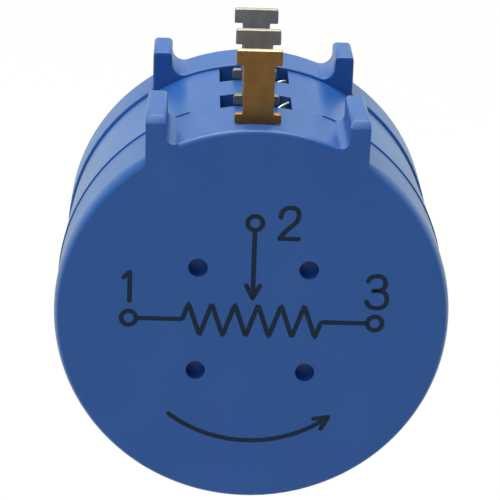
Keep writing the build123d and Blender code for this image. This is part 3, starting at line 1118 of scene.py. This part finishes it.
@dataclass
class ThreadedBushing:
    """The bushing: a turned body whose front length carries a right-hand thread."""

    node: str = "bushing"
    bore_radius: float = 3.205 * MM
    neck_radius: float = 5.2 * MM
    thread_radius: float = 4.7625 * MM
    thread_pitch: float = 25.4 / 32 * MM
    thread_depth: float = 0.42 * MM
    run_out: float = 0.9 * MM
    chamfer: float = 0.45 * MM
    wall_back: float = -3.0 * MM
    flat_share: float = 0.12
    segments: int = 144
    steps_per_pitch: int = 14
    sharp_deg: float = 40.0

    def build(self, material: Material) -> Object:
        """Builds the bushing.

        Points are (r sin a, y, r cos a). On the threaded length r is the thread's outer radius
        less its depth times a clipped triangle wave of y / pitch - a / turn. The profile is closed:
        its last row of quads leads back to the first row of points.

        Args:
            material: its material.

        Returns:
            The piece, which stands for its node.
        """
        low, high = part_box(self.node)
        bore, neck, flange = self.bore_radius, self.neck_radius, high.x
        wall = self.wall_back
        count = int(high.y / self.thread_pitch * self.steps_per_pitch)
        thread_y = np.linspace(0.0, high.y, count)
        back = [(bore, low.y), (flange, low.y), (flange, wall), (neck, wall), (neck, 0.0)]
        thread = np.stack([np.full(count, self.thread_radius), thread_y], axis=1)
        profile = np.concatenate([back, thread, [(bore, high.y)]])
        cut = np.zeros(len(profile))
        cut[len(back) : len(back) + count] = np.clip(thread_y / self.run_out, 0.0, 1.0)
        angle = np.arange(self.segments) / self.segments * TURN
        y = profile[:, 1:2]
        phase = y / self.thread_pitch - angle[None] / TURN
        wave = np.abs(2 * (phase - np.floor(phase)) - 1)
        wave = np.clip((wave - self.flat_share) / (1 - 2 * self.flat_share), 0.0, 1.0)
        radius = profile[:, :1] - self.thread_depth * wave * cut[:, None]
        limit = self.thread_radius - self.chamfer + np.clip(high.y - y, 0.0, None)
        radius = np.where(cut[:, None] > 0, np.minimum(radius, limit), radius)
        y = np.broadcast_to(y, radius.shape)
        points = np.stack([radius * np.sin(angle), y, radius * np.cos(angle)], axis=-1)
        faces = grid_faces(len(profile) + 1, self.segments) % radius.size
        piece = new_piece(f"{self.node}_threaded", points.reshape(-1, 3), faces.tolist())
        piece.data.set_sharp_from_angle(angle=math.radians(self.sharp_deg))
        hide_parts(self.node)
        return dress(piece, Body.HOUSING, material)


@dataclass
class WoundElement:
    """The wound mandrel: an oval section carried along a right-hand helix."""

    node: str = "resistance_element"
    turns: int = 10
    depth: float = 0.5 * MM
    width: float = 0.42 * MM
    squareness: float = 0.6
    steps_per_turn: int = 120
    sides: int = 16

    def build(self, material: Material) -> Object:
        """Builds the element.

        The centre is (R sin a, y0 + rise a / turn, R cos a). The section is a superellipse, whose
        radial and axial offsets are the signed powers of cos b and sin b. Each corner's U is its
        length along the helix, in metres, and its V is its side.

        Args:
            material: its material.

        Returns:
            The piece, which stands for its node.
        """
        low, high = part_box(self.node)
        count = self.turns * self.steps_per_turn + 1
        angle = np.linspace(0.0, self.turns * TURN, count)
        rise = (high.y - low.y - self.width) / self.turns
        centre_radius = high.z - self.depth / 2
        turn = np.arange(self.sides) / self.sides * TURN
        section = np.stack([np.cos(turn), np.sin(turn)])
        section = np.sign(section) * np.abs(section) ** self.squareness
        radial, axial = section * ((self.depth / 2,), (self.width / 2,))
        radius = (centre_radius + radial)[None]
        y = low.y + self.width / 2 + rise * angle[:, None] / TURN + axial[None]
        rings = np.stack([radius * np.sin(angle)[:, None], y, radius * np.cos(angle)[:, None]], -1)
        piece = new_piece(f"{self.node}_wound", *closed_tube(rings))
        corner = read_all(piece.data.loops, "vertex_index", 1)[:, 0]
        length = angle * centre_radius
        uv = np.stack([length[corner // self.sides], corner % self.sides / self.sides], axis=1)
        layer = piece.data.uv_layers.new(name="winding")
        layer.data.foreach_set("uv", uv.astype(np.float32).ravel())
        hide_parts(self.node)
        return dress(piece, Body.HOUSING, material)


@dataclass(frozen=True)
class Softbox:
    """A square soft lamp."""

    name: str
    place: Triple
    size: float
    power: float
    tint: Colour

    def build(self, target: Triple) -> None:
        """Adds the lamp.

        Args:
            target: the point that it faces.
        """
        data = bpy.data.lights.new(self.name, "AREA")
        data.size, data.energy, data.color = self.size, self.power, self.tint
        lamp = put(self.name, data)
        lamp.location = self.place
        aim = Vector(target) - Vector(self.place)
        lamp.rotation_euler = aim.to_track_quat("-Z", "Y").to_euler()


@dataclass
class Studio:
    """Camera, lamps, floor and surroundings."""

    lens: float = 166.21
    sensor: float = 36.0
    clip: Pair = (0.01, 20.0)
    eye: Triple = (-0.003901, -0.139170, 0.048934)
    right: Triple = (0.9992866, -0.0181247, 0.0331342)
    up: Triple = (-0.0247220, 0.3493313, 0.9366731)
    target: Triple = (0.0, -0.010, 0.0)
    floor_drop: float = 60 * MM
    floor_half: float = 3.0
    world_light: float = 0.26
    gloss_above: float = 0.45
    gloss_near: float = 0.33
    gloss_rise: Pair = (0.05, 0.35)
    gloss_turn: Pair = (-0.7, 0.0)
    lamps: tuple[Softbox, ...] = (
        Softbox("top_softbox", (-0.05, 0.10, 0.45), size=0.5, power=3.9, tint=(1.0, 0.98, 0.82)),
        Softbox("front_softbox", (-0.25, -0.45, 0.30), size=0.4, power=0.6, tint=(0.85, 0.9, 1.0)),
    )
    paper: StudioPaper = StudioPaper(
        "studio_paper", tone=(0.85, 0.85, 0.85), glow=0.93, gloss_near=0.33, near=(-0.03, 0.02)
    )

    def build(self) -> None:
        """Builds the stage."""
        self._camera()
        self._world()
        self._floor()
        for lamp in self.lamps:
            lamp.build(self.target)
        bpy.context.scene.view_settings.view_transform = "Standard"

    def _camera(self) -> None:
        """Adds the camera at the photograph's viewing angle."""
        data = bpy.data.cameras.new("camera")
        data.lens, data.sensor_width = self.lens, self.sensor
        data.clip_start, data.clip_end = self.clip
        right = Vector(self.right).normalized()
        back = right.cross(Vector(self.up)).normalized()
        turn = Matrix((right, back.cross(right), back)).transposed().to_4x4()
        camera = put("camera", data)
        camera.matrix_world = Matrix.Translation(self.eye) @ turn
        bpy.context.scene.camera = camera

    def _world(self) -> None:
        """Makes the surroundings white where they are seen and a soft light otherwise.

        In gloss they are brightest near the ground behind the part, and dimmer overhead and on the
        camera's side, as in a real studio.
        """
        world = bpy.data.worlds.new("surroundings")
        graph = Graph(world)
        direction = graph.node("ShaderNodeTexCoord", output="Generated")
        back, up = (graph.node("ShaderNodeSeparateXYZ", None, {0: direction}, a) for a in "YZ")
        high = up.between(*self.gloss_rise)
        pale = (1 - high * (1 - self.gloss_above)) * back.between(*self.gloss_turn)
        pale = self.gloss_near + pale * (1 - self.gloss_near)
        light = {"Color": (*WHITE, 1.0), "Strength": self.world_light}
        soft = graph.node("ShaderNodeBackground", None, light)
        white = graph.white_glow("ShaderNodeBackground", pale)
        shader = graph.node("ShaderNodeMixShader", None, {0: graph.seen(), 1: soft, 2: white})
        graph.node("ShaderNodeOutputWorld", None, {"Surface": shader})
        bpy.context.scene.world = world

    def _floor(self) -> None:
        """Adds the floor, well below the part, which is held by its bushing."""
        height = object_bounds()[0].z - self.floor_drop
        corners = np.array([(-1.0, -1.0), (1.0, -1.0), (1.0, 1.0), (-1.0, 1.0)]) * self.floor_half
        floor = new_piece("floor", np.insert(corners, 2, height, axis=1), [[0, 1, 2, 3]])
        floor.data.materials.append(self.paper.material())
        floor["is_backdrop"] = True


BRONZE = StripMetal("gold_bronze_strip", (0.50, 0.250, 0.085), (0.38, 0.185, 0.060))
TIN = StripMetal("dull_tinned_strip", (0.45, 0.41, 0.38), (0.33, 0.30, 0.28), roughness=0.42)
FINISHES = {
    Slot.BLUE: MouldedPlastic("blue_moulding", (0.015, 0.094, 0.380), (0.021, 0.106, 0.410),
                              roughness=0.34),
    Slot.BLACK: MouldedPlastic("black_moulding", (0.02, 0.02, 0.022), (0.03, 0.03, 0.034),
                               roughness=0.5),
    Slot.PLATE: TurnedMetal("plated_brass", (0.62, 0.60, 0.54), (0.42, 0.40, 0.35)),
    Slot.STEEL: TurnedMetal("turned_steel", (0.60, 0.60, 0.59), (0.42, 0.42, 0.42)),
    Slot.SPRING: TurnedMetal("spring_steel", (0.30, 0.30, 0.31), (0.18, 0.18, 0.19),
                             roughness=0.34),
    Slot.BRONZE: BRONZE,
    Slot.TIN: TIN,
    # the winding's second colour is the painted shade between its turns
    Slot.WIRE: WoundWire("close_winding", (0.46, 0.41, 0.33), (0.06, 0.05, 0.04)),
}
STAMPINGS = {
    # the bronze stamping gets a painted highlight on its top edge
    Slot.BRONZE: replace(BRONZE, name="gold_bronze_stamping", painted_highlight_share=0.9),
    # the tinned stampings get painted shade on their lower ends
    Slot.TIN: replace(TIN, name="dull_tinned_stamping", painted_shade_share=0.75),
}
LEAD = StripMetal("bare_lead_wire", (0.80, 0.78, 0.74), (0.62, 0.60, 0.56), roughness=0.2)
INK = StampedInk("dark_ink", (0.008, 0.022, 0.045), (0.010, 0.045, 0.13))

SKIN_RADIUS = 10.6 * MM
REAR_EDGE = SoftEdge(
    body_radius=11.1 * MM,
    solid_round=0.3 * MM,
    radial=0.4 * MM,
    axial=1.2 * MM,
    clear_deg=(26.0, 42.0),
)
COVER_DRAFT = Draft(SKIN_RADIUS, ((-19.05 * MM, 0.08 * MM), (-13.76 * MM, 0.03 * MM)))
BARREL_DRAFT = Draft(
    SKIN_RADIUS,
    ((-14.0 * MM, 0.0), (-13.76 * MM, 0.28 * MM), (-5.46 * MM, 0.0)),
    clear_deg=(17.0, 19.5),
)
COPIES = (
    EdgedCopy("rear_cover", Body.HOUSING, Slot.BLUE, edge=0.12 * MM,
              shaping=(REAR_EDGE, COVER_DRAFT), rounded_above=11.4 * MM),
    EdgedCopy("barrel", Body.HOUSING, Slot.BLUE, edge=0.04 * MM, shaping=(BARREL_DRAFT,)),
    EdgedCopy("front_housing", Body.HOUSING, Slot.BLUE, edge=0.12 * MM),
    EdgedCopy("shaft", Body.ROTOR, Slot.STEEL, edge=0.08 * MM),
    EdgedCopy("retaining_ring", Body.ROTOR, Slot.SPRING, edge=0.06 * MM),
)
TERMINALS = (
    SolderTerminal("terminal_rear", Slot.BRONZE),
    SolderTerminal("terminal_middle", Slot.TIN, neck_width=1.66 * MM),
    SolderTerminal("terminal_front", Slot.TIN, neck_width=1.6 * MM),
)
PLAIN_NODES = {
    "element_link": Slot.TIN,
    "slip_ring_brush": Slot.BRONZE,
    "rotor": Slot.BLACK,
    "thrust_washer": Slot.SPRING,
    "slip_ring": Slot.BRONZE,
    "collector_bar": Slot.BRONZE,
    "wiper_carriage": Slot.BLACK,
    "wiper_contact": Slot.BRONZE,
    "collector_contact": Slot.BRONZE,
    "contact_post": Slot.BRONZE,
}


def main() -> None:
    """Builds the pieces in order."""
    logging.basicConfig(level=logging.INFO, format="%(message)s")
    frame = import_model()
    nodes = frame["nodes"]
    materials = {slot: finish.material() for slot, finish in FINISHES.items()}
    stampings = {slot: finish.material() for slot, finish in STAMPINGS.items()}

    for copy in COPIES:
        copy.build(nodes, materials[copy.slot])
    for terminal in TERMINALS:
        terminal.build(stampings[terminal.slot])
    LeadEnds().build(LEAD.material())
    WiringMark().build(INK.material())
    ThreadedBushing().build(materials[Slot.PLATE])
    WoundElement().build(materials[Slot.WIRE])
    for name, slot in PLAIN_NODES.items():
        nodes[name].data.materials.clear()
        nodes[name].data.materials.append(materials[slot])
        log.info("%s has %s", name, materials[slot].name)

    Studio().build()


if __name__ == "__main__":
    main()
